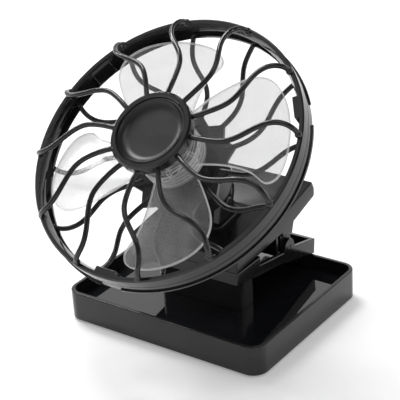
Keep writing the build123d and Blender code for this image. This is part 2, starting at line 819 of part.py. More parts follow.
# ---- guards, in the head's frame ----------------------------------------------------------------
def wavy_spoke(knots, radius):
    """Round rod swept along a smooth curve through the knots."""
    path = Spline(*[on_polar(*knot) for knot in knots])
    start = Plane(origin=path @ 0, z_dir=path % 0)
    return sweep(start * Circle(radius), path=path)


def spoke_set(knots, knob_at):
    """All the spokes of one guard, each ending in a small knob on the ring."""
    rod = wavy_spoke(knots, SPOKE_R)
    knob = Pos(on_polar(*knob_at)) * Sphere(KNOB_R)
    return [Rot(0, 0, i * 360 / SPOKES) * s for i in range(SPOKES) for s in (rod, knob)]


def ring_profile(points):
    """Ring turned from an outline given as (radius, height)."""
    return revolve(Plane.XZ * make_face(Polyline(*points, close=True)), Axis.Z)


def front_ring():
    """Front half of the guard ring: narrow front rim, sloping inner face and outer wall."""
    wall_in_r = GUARD_R - RING_WALL
    return ring_profile(
        (
            (INNER_FACE_R, INNER_FACE_TOP),
            (RIM_FACE_IN_R, 0.0),
            (GUARD_R - RING_EDGE, 0.0),
            (GUARD_R, -RING_EDGE),
            (GUARD_R, -FRONT_RING_DEPTH),
            (wall_in_r, -FRONT_RING_DEPTH),
            (wall_in_r, INNER_FACE_BACK),
            (INNER_FACE_R, INNER_FACE_BACK),
        )
    )


def rear_ring():
    """Rear half of the guard ring, with an outer lip and an inner flange."""
    wall_in_r = GUARD_R - RING_WALL
    flange_top = REAR_RING_BACK + REAR_FLANGE_T
    return ring_profile(
        (
            (wall_in_r, REAR_RING_TOP),
            (GUARD_R, REAR_RING_TOP),
            (GUARD_R, REAR_RING_BACK + LIP_T),
            (LIP_R, REAR_RING_BACK + LIP_T),
            (LIP_R, REAR_RING_BACK + LIP_EDGE),
            (LIP_R - LIP_EDGE, REAR_RING_BACK),
            (INNER_FACE_R, REAR_RING_BACK),
            (INNER_FACE_R, flange_top),
            (wall_in_r, flange_top),
        )
    )


def latch(angle):
    """Snap tab inside the ring, with a nib that catches in the rear ring."""
    tab = Pos(LATCH_R + LATCH_T / 2, 0, (LATCH_FRONT + LATCH_BACK) / 2) * Box(
        LATCH_T, LATCH_W, LATCH_FRONT - LATCH_BACK
    )
    tab = fillet(tab.faces().sort_by(Axis.X)[0].edges(), LATCH_EDGE_R)
    root_r = LATCH_R + LATCH_T - NIB_ROOT
    nib = Pos(root_r + NIB_OUT / 2, 0, NIB_Z) * Box(NIB_OUT, NIB_W, NIB_H)
    return Rot(0, 0, angle) * (tab + nib)


def nib_pocket(angle):
    """Pocket in the rear ring's wall for a latch nib."""
    r = LATCH_R + LATCH_T + NIB_OUT / 2
    pocket = Pos(r, 0, NIB_Z + FIT_GAP / 2) * Box(NIB_OUT + 4 * FIT_GAP, NIB_W + 4 * FIT_GAP, NIB_H + 3 * FIT_GAP)
    return Rot(0, 0, angle) * pocket


def lip_gap(angle):
    """The stretch of the outer lip left out beside a latch."""
    band = tube(LIP_R + CUT, GUARD_R - LIP_GAP_SINK, REAR_RING_BACK - CUT, REAR_RING_BACK + LIP_T + CUT)
    window = Pos(GUARD_R, 0, REAR_RING_BACK) * Box(2 * LIP_GAP_W, LIP_GAP_W, LIP_GAP_W)
    return Rot(0, 0, angle) * (band & window)


def cap_ring():
    """Round ring in the middle of the front guard, with a raised lip and a shelf for the cap."""
    shelf_r = CAP_LIP_IN_R - SHELF_W
    return ring_profile(
        (
            (shelf_r, CAP_BACK),
            (CAP_R - CAP_SMALL_EDGE, CAP_BACK),
            (CAP_R, CAP_BACK + CAP_SMALL_EDGE),
            (CAP_R, CAP_FRONT - CAP_EDGE),
            (CAP_R - CAP_EDGE, CAP_FRONT),
            (CAP_LIP_IN_R + CAP_SMALL_EDGE, CAP_FRONT),
            (CAP_LIP_IN_R, CAP_FRONT - CAP_SMALL_EDGE),
            (CAP_LIP_IN_R, DISC_Z0),
            (shelf_r, DISC_Z0),
        )
    )


def front_guard():
    body = front_ring().fuse(cap_ring(), *spoke_set(FRONT_SPOKE, FRONT_KNOB))
    for angle in LATCH_ANGLES:
        body += latch(angle)
    return body - cylinder(CAP_LIP_IN_R - SHELF_W, CAP_BACK - CUT, CAP_FRONT + CUT)


def front_cap():
    """Dished disc held in the cap ring: flat middle that curves up in an arc to a thin rim."""
    r = CAP_LIP_IN_R - FIT_GAP / 2
    flat_z = DISC_Z0 + DISC_T
    rim_r = r - DISC_RIM
    rise = CAP_FRONT - CAP_SMALL_EDGE - flat_z
    run = rim_r - DISH_FLAT_R
    bowl_r = (run ** 2 + rise ** 2) / (2 * rise)
    half_turn = math.atan2(rise, run)
    bowl = (DISH_FLAT_R + bowl_r * math.sin(half_turn), flat_z + bowl_r * (1 - math.cos(half_turn)))
    edge = [
        Polyline((DISH_FLAT_R, flat_z), (0.0, flat_z), (0.0, DISC_Z0), (r, DISC_Z0)),
        Polyline((r, DISC_Z0), (r, CAP_FRONT - 2 * CAP_SMALL_EDGE), (rim_r, CAP_FRONT - CAP_SMALL_EDGE)),
        ThreePointArc((DISH_FLAT_R, flat_z), bowl, (rim_r, CAP_FRONT - CAP_SMALL_EDGE)),
    ]
    return revolve(Plane.XZ * make_face(edge), Axis.Z)


def hub_plate():
    """Star-shaped plate with a point at every spoke and holes for the motor and its screws."""
    step = 180 / SPOKES
    radii = (HUB_TIP_R, HUB_HOLLOW_R)
    corners = [on_polar(radii[i % 2], HUB_TIP_ANGLE + i * step, 0) for i in range(2 * SPOKES)]
    star = make_face(Polyline(*corners, close=True))
    plate = Pos(0, 0, HUB_PLATE_BACK) * extrude(star, HUB_PLATE_T)
    plate = fillet(plate.edges().group_by(Axis.Z)[-1], HUB_EDGE_R)
    below = HUB_PLATE_BACK - CUT
    above = HUB_PLATE_FRONT + CUT
    plate -= cylinder(BUSH_R + FIT_GAP, below, above)
    for x, y in motor_screw_points():
        plate -= cylinder(PILOT_R, below, above, x, y)
    for x, y in housing_screw_points():
        plate -= cylinder(HOUSING_CLEARANCE_R, below, above, x, y)
    return plate


def rear_guard():
    """Rear ring, spokes and the hub plate that carries the motor."""
    ring = rear_ring()
    for angle in LATCH_ANGLES:
        ring -= nib_pocket(angle)
        ring -= lip_gap(angle)
    return ring.fuse(hub_plate(), *spoke_set(REAR_SPOKE, REAR_KNOB))


# ---- motor and housing, in the head's frame -------------------------------------------------------
def motor_screw_points():
    return [(MOTOR_SCREW_AT, 0.0), (-MOTOR_SCREW_AT, 0.0)]


def housing_screw_points():
    points = [on_polar(HOUSING_BOSS_AT, angle, 0) for angle in HOUSING_BOSS_ANGLES]
    return [(p.X, p.Y) for p in points]


def pivot_in_head():
    """The tilt pivot written in the fan head's frame."""
    a = math.radians(HEAD_TILT)
    dy = TILT_Y - HEAD_CENTRE[1]
    dz = TILT_Z - HEAD_CENTRE[2]
    return Vector(0, dy * math.sin(a) + dz * math.cos(a), -dy * math.cos(a) + dz * math.sin(a))


def housing_tongue():
    """Arm from the housing's back to the tilt bolt, with a rounded eye."""
    pivot = pivot_in_head()
    height = 2 * CLEVIS_R - 1.0
    top = HOUSING_BACK + TONGUE_SINK
    arm = Pos(0, pivot.Y, (pivot.Z + top) / 2) * Box(2 * TONGUE_HALF_T, height, top - pivot.Z)
    eye = Pos(pivot) * Rot(0, 90, 0) * Cylinder(height / 2, 2 * TONGUE_HALF_T)
    bore = Pos(pivot) * Rot(0, 90, 0) * Cylinder(TILT_BOLT_R + RUNNING_GAP, 4 * TONGUE_HALF_T)
    return arm + eye - bore


def motor_housing():
    """Round shell over the motor with a tongue for the tilt joint."""
    shell = cylinder(HOUSING_R, HOUSING_BACK, HUB_PLATE_BACK)
    shell = fillet(shell.edges().group_by(Axis.Z)[0], HOUSING_EDGE_R)
    inside = cylinder(HOUSING_R - HOUSING_WALL, HOUSING_BACK + HOUSING_WALL, HUB_PLATE_BACK + CUT)
    inside = fillet(inside.edges().group_by(Axis.Z)[0], HOUSING_EDGE_R - HOUSING_WALL)
    body = shell - inside
    for x, y in housing_screw_points():
        body += cylinder(HOUSING_BOSS_R, HOUSING_BACK + HOUSING_WALL / 2, HUB_PLATE_BACK, x, y) & shell
        body -= cylinder(PILOT_R, HUB_PLATE_BACK - HOUSING_SCREW[3], HUB_PLATE_BACK + CUT, x, y)
    body += housing_tongue()
    hole_y = pivot_in_head().Y + HOUSING_LEAD_OFFSET
    hole_top = HOUSING_BACK + 2 * HOUSING_WALL
    return body - cylinder(HOUSING_LEAD_HOLE_R, HOUSING_BACK - CUT, hole_top, 0, hole_y)


def housing_screws():
    screw = pan_screw(*HOUSING_SCREW)
    return [Pos(x, y, HUB_PLATE_FRONT) * screw for x, y in housing_screw_points()]


def motor_screws():
    screw = pan_screw(*MOTOR_SCREW)
    return [Pos(x, y, HUB_PLATE_FRONT) * screw for x, y in motor_screw_points()]


def motor_can():
    """Drawn steel can, open at the back."""
    front = HUB_PLATE_BACK
    can = cylinder(CAN_R, CAN_BACK, front)
    can = fillet(can.edges().group_by(Axis.Z)[-1], CAN_EDGE_R)
    can -= cylinder(CAN_R - CAN_WALL, CAN_BACK - CUT, front - CAN_WALL)
    can -= cylinder(BUSH_R, front - CAN_WALL - CUT, front + CUT)
    for x, y in motor_screw_points():
        can -= cylinder(MOTOR_SCREW[0], front - CAN_WALL - CUT, front + CUT, x, y)
    return can


def motor_end_cap():
    """Moulded cap that closes the can and holds the rear bush."""
    cap_front = CAN_BACK + END_CAP_T
    cap = cylinder(CAN_R - CAN_WALL, CAN_BACK, cap_front)
    cap += cylinder(REAR_BUSH_R + 1.5 * COLLAR_WALL, CAN_BACK - COLLAR_WALL, CAN_BACK)
    cap -= cylinder(REAR_BUSH_R, CAN_BACK - COLLAR_WALL - CUT, cap_front + CUT)
    slot = Box(BLADE_TERMINAL[0] + FIT_GAP, BLADE_TERMINAL[1] + 2 * FIT_GAP, END_CAP_T + CUT)
    for side in both_sides(Pos(TERMINAL_X, 0, CAN_BACK + END_CAP_T / 2) * slot):
        cap -= side
    return cap


def motor_bushes():
    """Bronze bushes at the two ends of the shaft."""
    bore = SHAFT_R + RUNNING_GAP
    front_z = HUB_PLATE_BACK + BUSH_STAND
    front = tube(BUSH_R, bore, front_z - BUSH_T, front_z)
    rear = tube(REAR_BUSH_R, bore, CAN_BACK - REAR_BUSH_OUT, CAN_BACK + END_CAP_T)
    return [front, rear]


def motor_magnets():
    """Two arc magnets inside the can."""
    z1 = HUB_PLATE_BACK - CAN_WALL - MAGNET_FRONT_GAP
    z0 = CAN_BACK + END_CAP_T + MAGNET_BACK_GAP
    outer = CAN_R - CAN_WALL
    sector = Pos(0, 0, z0) * extrude(pie_slice(outer, MAGNET_SPAN), z1 - z0)
    arc = sector - cylinder(outer - MAGNET_T, z0 - CUT, z1 + CUT)
    return [arc, Rot(0, 0, 180) * arc]


def pie_slice(radius, span):
    """Pie slice centred on the Y direction."""
    half = math.radians(span / 2)
    left = (-radius * math.sin(half), radius * math.cos(half))
    right = (radius * math.sin(half), radius * math.cos(half))
    arc = ThreePointArc(left, (0, radius), right)
    return make_face([Line((0, 0), left), arc, Line(right, (0, 0))])


def motor_brushes():
    """Two brass terminal blades through the end cap, each with a brush arm."""
    blade = Pos(TERMINAL_X, 0, CAN_BACK - BRUSH_T) * Box(*BLADE_TERMINAL)
    arm_x0 = COMMUTATOR_R + BRUSH_GAP
    arm_z = CAN_BACK + END_CAP_T + BRUSH_LIFT
    arm = Pos((TERMINAL_X + arm_x0) / 2, 0, arm_z) * Box(TERMINAL_X - arm_x0, BRUSH_W, BRUSH_T)
    return both_sides(blade + arm)


def motor_shaft():
    return cylinder(SHAFT_R, CAN_BACK - SHAFT_OUT, SHAFT_FRONT)


def armature_span():
    """Back and front of the armature core along the shaft."""
    front = HUB_PLATE_BACK + BUSH_STAND - BUSH_T - ARMATURE_FRONT_GAP
    return front - ARMATURE_LEN, front


def pole_turn(i):
    return Rot(0, 0, i * 360 / ARMATURE_POLES)


def armature_core():
    """Three-pole laminated core on the shaft."""
    z0, z1 = armature_span()
    core = tube(ARMATURE_HUB_R, SHAFT_R, z0, z1)
    shoe_in_r = ARMATURE_R - SHOE_T
    arm_len = shoe_in_r - ARMATURE_HUB_R + SHOE_T
    arm = Pos((shoe_in_r + ARMATURE_HUB_R) / 2, 0, (z0 + z1) / 2) * Box(arm_len, POLE_W, z1 - z0)
    wedge = Pos(0, 0, z0) * extrude(Rot(0, 0, -90) * pie_slice(ARMATURE_R, SHOE_SPAN), z1 - z0)
    shoe = tube(ARMATURE_R, shoe_in_r, z0, z1) & wedge
    for i in range(ARMATURE_POLES):
        core += pole_turn(i) * (arm + shoe)
    return core


def armature_coils():
    """Copper windings, one round each pole."""
    z0, z1 = armature_span()
    middle = Pos(COIL_X, 0, (z0 + z1) / 2)
    winding = middle * Box(COIL_LEN, COIL_W, z1 - z0 + 2 * COIL_OUT)
    winding -= middle * Box(2 * COIL_LEN, POLE_W, z1 - z0)
    winding &= tube(ARMATURE_R - SHOE_T, ARMATURE_HUB_R + FIT_GAP, z0 - CUT, z1 + CUT)
    return [pole_turn(i) * winding for i in range(ARMATURE_POLES)]


def commutator():
    """Copper sleeve on the shaft where the brushes touch."""
    front = armature_span()[0] - COMMUTATOR_GAP
    return tube(COMMUTATOR_R, SHAFT_R, front - COMMUTATOR_LEN, front)


def motor_leads():
    """Two wires from the motor terminals out through the back of the housing."""
    exit_y = pivot_in_head().Y + HOUSING_LEAD_OFFSET
    leads = []
    for sx in (-1, 1):
        top = Vector(sx * TERMINAL_X, BLADE_TERMINAL[1], CAN_BACK - MOTOR_LEAD_TOP)
        knee = Vector(sx * MOTOR_LEAD_X, exit_y, HOUSING_BACK + MOTOR_LEAD_KNEE)
        end = Vector(sx * MOTOR_LEAD_X, exit_y, HOUSING_BACK - MOTOR_LEAD_OUT)
        leads.append(wire_run(top, knee) + wire_run(knee, end) + Pos(knee) * Sphere(LEAD_R))
    return leads


# ---- rotor, in the head's frame -------------------------------------------------------------------
def blade_section(radius, chord, pitch):
    """Thin cambered strip across the blade, standing at a radius along X."""
    half = chord / 2
    t = BLADE_T / 2
    c = BLADE_CAMBER
    top = ThreePointArc((-half, t), (0, c + t), (half, t))
    bottom = ThreePointArc((half, -t), (0, c - t), (-half, -t))
    face = make_face([top, Line((half, t), (half, -t)), bottom, Line((-half, -t), (-half, t))])
    a = math.radians(pitch)
    frame = Plane(origin=(radius, 0, BLADE_MID), x_dir=(0, math.cos(a), math.sin(a)), z_dir=(1, 0, 0))
    return frame * face


def blade_outline():
    """Blade shape seen along the axis, with rounded edges, drawn through the full depth."""
    pts = [on_polar(r, a, 0) for r, a in BLADE_OUTLINE]
    edge = Spline(*pts)
    root = Line(pts[-1], pts[0])
    return Pos(0, 0, BLADE_MID) * extrude(make_face([edge, root]), GUARD_R, both=True)


def hub_cup():
    """Cup of the rotor's hub: flat front with a bevelled edge, open at the back."""
    inner_r = ROTOR_HUB_R - ROTOR_HUB_WALL
    return ring_profile(
        (
            (0.0, ROTOR_FRONT),
            (ROTOR_HUB_R - ROTOR_HUB_CHAMFER, ROTOR_FRONT),
            (ROTOR_HUB_R, ROTOR_FRONT - ROTOR_HUB_CHAMFER),
            (ROTOR_HUB_R, ROTOR_BACK),
            (inner_r, ROTOR_BACK),
            (inner_r, ROTOR_FRONT - ROTOR_HUB_WALL),
            (0.0, ROTOR_FRONT - ROTOR_HUB_WALL),
        )
    )


def fan_rotor():
    """Clear hub cup with ribs and four broad twisted blades."""
    body = hub_cup() + cylinder(ROTOR_BOSS_R, ROTOR_BACK, ROTOR_FRONT - ROTOR_HUB_WALL / 2)
    ring_top = ROTOR_FRONT - ROTOR_HUB_WALL / 2
    for radius in HUB_RING_RADII:
        body += tube(radius + HUB_RING_T / 2, radius - HUB_RING_T / 2, ring_top - HUB_RING_H, ring_top)
    for i in range(HUB_RIBS):
        rib = Pos(HUB_RIB_AT[0], 0, HUB_RIB_AT[1]) * Box(*HUB_RIB_SIZE)
        body += Rot(0, 0, i * 360 / HUB_RIBS) * rib
    for z in GROOVE_HEIGHTS:
        body -= tube(ROTOR_HUB_R + CUT, ROTOR_HUB_R - GROOVE_DEPTH, z - GROOVE_HALF_W, z + GROOVE_HALF_W)
    sections = [blade_section(*s) for s in BLADE_SECTIONS]
    blade = loft(sections) & blade_outline()
    blade -= cylinder(ROTOR_HUB_R - BLADE_ROOT, -GUARD_R, GUARD_R)
    for i in range(BLADES):
        body += Rot(0, 0, BLADE_PHASE + i * 360 / BLADES) * blade
    return body - cylinder(SHAFT_R, ROTOR_BACK - CUT, SHAFT_FRONT)


# ---- nodes --------------------------------------------------------------------------------------
def main():
    os.makedirs("parts", exist_ok=True)
    save("base_tray", base_tray())
    save("bottom_cover", bottom_cover())
    save("cover_screws", cover_screws())
    save("base_pad", base_pad())
    save("panel_backing", panel_backing())
    save("solar_cells", solar_cells())
    save("panel_window", panel_window())
    save("panel_terminals", panel_terminals())
    save("panel_leads", panel_leads())
    save("clip_post", clip_post())
    save("post_screws", post_screws())
    save("clip_lower", clip_lower())
    save("clip_upper", clip_upper())
    save("lower_jaw_pad", jaw_pad(-1))
    save("upper_jaw_pad", jaw_pad(1))
    save("clip_pin", clip_pin())
    save("clip_springs", clip_springs())
    save("neck_bracket", neck_bracket())
    save("neck_screws", neck_screws())
    save("tilt_bolt", tilt_bolt())
    save("tilt_nut", tilt_nut())
    head = head_frame()
    head_parts = {
        "front_guard": [front_guard()],
        "front_cap": [front_cap()],
        "rear_guard": [rear_guard()],
        "motor_housing": [motor_housing()],
        "housing_screws": housing_screws(),
        "motor_screws": motor_screws(),
        "motor_can": [motor_can()],
        "motor_end_cap": [motor_end_cap()],
        "motor_bushes": motor_bushes(),
        "motor_magnets": motor_magnets(),
        "motor_brushes": motor_brushes(),
        "motor_leads": motor_leads(),
        "motor_shaft": [motor_shaft()],
        "armature_core": [armature_core()],
        "armature_coils": armature_coils(),
        "commutator": [commutator()],
        "fan_rotor": [fan_rotor()],
    }
    for node, shapes in head_parts.items():
        save(node, [head * shape for shape in shapes])


main()
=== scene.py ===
import json
import math

import bmesh
import bpy
from mathutils import Matrix, Vector


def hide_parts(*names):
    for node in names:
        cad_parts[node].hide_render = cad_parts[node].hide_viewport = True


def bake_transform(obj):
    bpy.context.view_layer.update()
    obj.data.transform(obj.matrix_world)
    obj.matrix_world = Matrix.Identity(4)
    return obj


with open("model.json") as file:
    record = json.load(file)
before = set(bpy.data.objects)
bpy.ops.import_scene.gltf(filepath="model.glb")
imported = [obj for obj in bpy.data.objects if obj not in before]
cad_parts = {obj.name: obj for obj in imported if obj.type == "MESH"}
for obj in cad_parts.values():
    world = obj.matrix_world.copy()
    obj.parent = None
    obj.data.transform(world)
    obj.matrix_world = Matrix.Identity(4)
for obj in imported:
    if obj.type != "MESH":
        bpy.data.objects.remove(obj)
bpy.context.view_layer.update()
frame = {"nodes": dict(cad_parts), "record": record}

MM = 0.001

# ---- camera -----------------------------------------------------------------------------------
# angles in degrees, azimuth 0 in front of the fan and positive towards +X
CAMERA_AZIMUTH = 36.8
CAMERA_ELEVATION = 25.6
CAMERA_ROLL = -3.65
# metres
CAMERA_DISTANCE = 0.756
CAMERA_TARGET = Vector((-0.0236, 0.0249, 0.0491))
# millimetres
CAMERA_LENS = 120.8
SENSOR_WIDTH = 36.0

# ---- studio -----------------------------------------------------------------------------------
# width in metres, darkest and lightest shade, and how far apart those lie
FLOOR_SIZE = 8.0
FLOOR_SHADE = (0.86, 0.9)
FLOOR_BLOTCH_MM = 400.0
# light the floor gives off itself, which keeps the shadows faint
FLOOR_GLOW = 0.25

# brightness of the surroundings by height above the horizon, as (degrees, radiance)
SKY = ((-90.0, 1.0), (0.0, 1.3), (31.0, 1.15), (38.0, 0.22), (90.0, 0.2))
# share of it left towards the front for light and reflections (the camera itself sees it undimmed), and
# where along Y (-1 front, 1 back) it changes
SKY_FRONT = 0.45
SKY_TURN = (0.05, 0.45)

# lamps aimed at the fan's middle, as (name, azimuth, elevation, distance, width, height, radiance):
# angles in degrees seen from there, azimuth 0 in front of the fan and positive towards +X
AIM = Vector((0.0, -0.01, 0.08))
LIGHTS = (
    ("cap_softbox", -61.0, 52.0, 1.4, 1.2, 0.9, 0.62),
    ("top_softbox", 60.0, 78.0, 3.2, 1.3, 1.3, 2.4),
    ("right_strip", 96.0, 24.0, 1.3, 0.1, 0.5, 4.0),
    ("left_softbox", -118.0, 58.0, 3.0, 1.0, 1.25, 13.0),
    ("left_strip", -90.0, 27.0, 1.6, 0.12, 0.6, 17.0),
    ("left_spark", -104.0, 43.0, 1.6, 0.16, 0.3, 17.0),
)

# ---- springs and loose leads, in millimetres -----------------------------------------------------
WIRE_SIDES = 10

# coil: radius to the wire's middle, where it starts off the middle plane, pitch, turns, points to a turn
SPRING_R = 4.0
SPRING_WIRE_R = 0.6
SPRING_X = 19.0
SPRING_PITCH = 1.6
SPRING_TURNS = 5.5
SPRING_STEPS = 12
# leg ends measured from the clip's pivot as (towards the handles, up)
SPRING_UPPER_END = (17.0, 23.4)
SPRING_LOWER_END = (16.0, -10.2)
# places of a leg's points, as shares of the way from its tip to the coil
SPRING_LEG_POINTS = (0.0, 0.3, 0.6, 0.85)

LEAD_R = 0.7
# loop behind the neck from inside the motor housing to inside the clip, as (y, z) from the tilt joint
LOOP_KNOTS = (
    (-1.0, 14.4),
    (2.2, 10.6),
    (7.4, 7.0),
    (13.2, 5.0),
    (17.6, 1.4),
    (17.4, -3.8),
    (16.2, -8.6),
    (16.2, -14.6),
)
# distance of each knot from the middle plane
LOOP_SPREAD = (0.9, 0.9, 0.9, 0.9, 0.9, 0.9, 0.8, 0.8)
# two bend points of the loop, the first on the head's side and the second on the clip's side
LOOP_BEND = ((2.2, 10.6), (16.2, -7.6))
# run inside the clip down to the leads that come up the post, as (y, z) from the clip's pivot
CLIP_RUN_KNOTS = (
    (-4.6, 15.4),
    (-5.4, 10.2),
    (-8.4, 2.6),
    (-16.0, 0.0),
    (-24.0, 0.8),
    (-30.0, -0.8),
    (-31.0, -4.8),
    (-31.0, -8.3),
)
CLIP_RUN_SPREAD = (0.8, 0.9, 1.6, 2.4, 3.4, 4.6, 5.0, 5.0)
CLIP_RUN_BEND = ((-5.4, 10.2), (-16.0, 0.0))

# ---- shading of the carried-over nodes ------------------------------------------------------------
# edges sharper than this stay sharp
SMOOTH_ANGLE = math.radians(35.0)
# corners closer together than this are shaded as one
WELD_DISTANCE = 0.001 * MM

# ---- surfaces -------------------------------------------------------------------------------------
# most of a noise pattern's values lie between these two
NOISE_SPAN = (0.3, 0.7)
# agreement of the rounded and the flat normal where an edge starts to show and where it shows fully
EDGE_SPAN = (0.997, 0.93)

# black plastic: flow marks, shallow moulding waves, lighter worn edges
FLOW_MM = 18.0
FLOW_STRETCH = (1.0, 1.0, 2.5)
FLOW_SPAN = (0.35, 0.65)
WAVE_MM = 6.0
WORN_EDGE_MM = 0.5
WORN_SHARE = 0.5
WORN_LIGHTER = 3.0

# clear plastic: what one skin lets through and scatters, its gloss, and the painted white highlight along
# its edges
CLEAR_SHADE = 0.89
CLEAR_SHADOW = 0.93
RIPPLE_MM = 9.0
RIPPLE_DEPTH_MM = 0.05
CLOUD_MM = 14.0
HAZE = 0.14
HAZE_SHADE = 0.38
SHEEN = 0.2
EDGE_PAINTED_HIGHLIGHT = 0.92
EDGE_HIGHLIGHT_MM = 1.3
EDGE_HIGHLIGHT_SHADE = 0.95

# panel: length of the cover's waves, share of the cover that lets the cells show, fineness of their lines
COVER_WAVE_MM = 30.0
COVER_CLEAR_SHARE = 0.12
CELL_LINE_SCALE = 60.0
CELL_LINE_SPAN = (0.97, 1.0)


# ---- shader helper ------------------------------------------------------------------------------
class Graph:
    """Adds shader nodes to one material and wires them together."""

    def __init__(self, name):
        self.material = bpy.data.materials.new(name)
        self.material.use_nodes = True
        self.tree = self.material.node_tree
        self.tree.nodes.clear()

    def add(self, kind, settings=None, **inputs):
        """New node; an input is a number, a colour or another node's output."""
        node = self.tree.nodes.new("ShaderNode" + kind)
        for key, value in (settings or {}).items():
            setattr(node, key, value)
        for key, value in inputs.items():
            self.feed(node.inputs[key.replace("_", " ")], value)
        return node

    def feed(self, socket, value):
        """Wires another node's output into the socket, or sets it to a number or colour."""
        if isinstance(value, bpy.types.NodeSocket):
            self.tree.links.new(value, socket)
        else:
            socket.default_value = value

    def place(self):
        """Coordinates in metres that stay with the piece when its body moves."""
        return self.add("TexCoord").outputs["Object"]

    def noise(self, grain_mm, detail=3.0, roughness=0.55, stretch=(1.0, 1.0, 1.0)):
        """Noise whose blotches are about grain_mm across."""
        spread = self.add("Mapping", Vector=self.place(), Scale=stretch)
        node = self.add(
            "TexNoise",
            Vector=spread.outputs["Vector"],
            Scale=1.0 / (grain_mm * MM),
            Detail=detail,
            Roughness=roughness,
        )
        return node.outputs["Fac"]

    def remap(self, value, span, to_low=0.0, to_high=1.0):
        """Stretches the values within the span over the given range and cuts off the rest."""
        low, high = span
        node = self.add("MapRange", Value=value, From_Min=low, From_Max=high, To_Min=to_low, To_Max=to_high)
        return node.outputs["Result"]

    def math(self, operation, a, b):
        """Result of the named operation on two inputs."""
        node = self.add("Math", {"operation": operation})
        self.feed(node.inputs[0], a)
        self.feed(node.inputs[1], b)
        return node.outputs["Value"]

    def mix_colour(self, share, first, second):
        """The first colour at a share of 0, the second at 1."""
        node = self.add("MixRGB")
        self.feed(node.inputs["Fac"], share)
        self.feed(node.inputs["Color1"], first)
        self.feed(node.inputs["Color2"], second)
        return node.outputs["Color"]

    def bump(self, height, depth_mm, strength=1.0, normal=None):
        """Surface direction over small bumps, on top of an earlier bump if one is given."""
        node = self.add("Bump", Height=height, Distance=depth_mm * MM, Strength=strength)
        if normal is not None:
            self.feed(node.inputs["Normal"], normal)
        return node.outputs["Normal"]

    def edge_mask(self, radius_mm):
        """0 on flat faces, rising to 1 at sharp edges."""
        rounded = self.add("Bevel", {"samples": 4}, Radius=radius_mm * MM)
        flat = self.add("NewGeometry")
        dot = self.add("VectorMath", {"operation": "DOT_PRODUCT"})
        self.feed(dot.inputs[0], rounded.outputs["Normal"])
        self.feed(dot.inputs[1], flat.outputs["Normal"])
        return self.remap(dot.outputs["Value"], EDGE_SPAN)

    def finish(self, shader):
        """The material, with the shader as its surface."""
        output = self.add("OutputMaterial")
        self.tree.links.new(shader, output.inputs["Surface"])
        return self.material


def rgb(value, tint=(1.0, 1.0, 1.0)):
    """Gray of the given brightness, or the tint dimmed by it."""
    return (value * tint[0], value * tint[1], value * tint[2], 1.0)


# ---- materials ----------------------------------------------------------------------------------
def black_plastic(name, shade, roughness, grain_mm, grain_depth_mm, index=1.46, wave_depth_mm=0.01):
    """Moulded black plastic: faint flow marks and waves, fine surface grain, slightly lighter edges."""
    g = Graph(name)
    flow = g.noise(FLOW_MM, stretch=FLOW_STRETCH)
    grain = g.noise(grain_mm, detail=2.0)
    edges = g.edge_mask(WORN_EDGE_MM)
    base = g.mix_colour(g.remap(flow, FLOW_SPAN), rgb(shade * 0.8), rgb(shade * 1.2))
    worn = g.mix_colour(g.math("MULTIPLY", edges, WORN_SHARE), base, rgb(shade * WORN_LIGHTER))
    smudged = g.remap(flow, NOISE_SPAN, to_low=roughness * 0.85, to_high=roughness * 1.2)
    waves = g.bump(g.noise(WAVE_MM, detail=1.0), wave_depth_mm)
    shader = g.add(
        "BsdfPrincipled",
        Base_Color=worn,
        Roughness=smudged,
        IOR=index,
        Normal=g.bump(grain, grain_depth_mm, normal=waves),
    )
    return g.finish(shader.outputs["BSDF"])


def clear_plastic(name):
    """Clear moulded plastic: a see-through sheet with a milky cast and a painted white highlight along its
    edges.
    """
    g = Graph(name)
    ripple = g.bump(g.noise(RIPPLE_MM, detail=2.0), RIPPLE_DEPTH_MM, strength=0.5)
    cloud = g.remap(g.noise(CLOUD_MM), NOISE_SPAN, to_low=0.85, to_high=1.15)
    edges = g.edge_mask(EDGE_HIGHLIGHT_MM)
    path = g.add("LightPath")
    see_through = g.add("BsdfTransparent", Color=rgb(CLEAR_SHADE))
    sheen = g.add("BsdfGlossy", Color=rgb(1.0), Roughness=0.22, Normal=ripple)
    facing = g.add("Fresnel", IOR=1.45, Normal=ripple)
    body = g.add("MixShader", Fac=g.math("MULTIPLY", facing.outputs["Fac"], SHEEN))
    g.feed(body.inputs[1], see_through.outputs["BSDF"])
    g.feed(body.inputs[2], sheen.outputs["BSDF"])
    # milky cast on the faces, with a painted highlight: near-white colour along the edges
    milk_and_highlight = g.mix_colour(edges, rgb(HAZE_SHADE), rgb(EDGE_HIGHLIGHT_SHADE))
    glow = g.add("BsdfTranslucent", Color=milk_and_highlight)
    scatter = g.add("BsdfDiffuse", Color=milk_and_highlight)
    haze = g.add("MixShader", Fac=0.5)
    g.feed(haze.inputs[1], glow.outputs["BSDF"])
    g.feed(haze.inputs[2], scatter.outputs["BSDF"])
    share = g.math("MAXIMUM", g.math("MULTIPLY", cloud, HAZE), g.math("MULTIPLY", edges, EDGE_PAINTED_HIGHLIGHT))
    milky = g.add("MixShader", Fac=share)
    g.feed(milky.inputs[1], body.outputs["Shader"])
    g.feed(milky.inputs[2], haze.outputs["Shader"])
    through = g.add("BsdfTransparent", Color=rgb(CLEAR_SHADOW))
    shader = g.add("MixShader", Fac=path.outputs["Is Shadow Ray"])
    g.feed(shader.inputs[1], milky.outputs["Shader"])
    g.feed(shader.inputs[2], through.outputs["BSDF"])
    return g.finish(shader.outputs["Shader"])


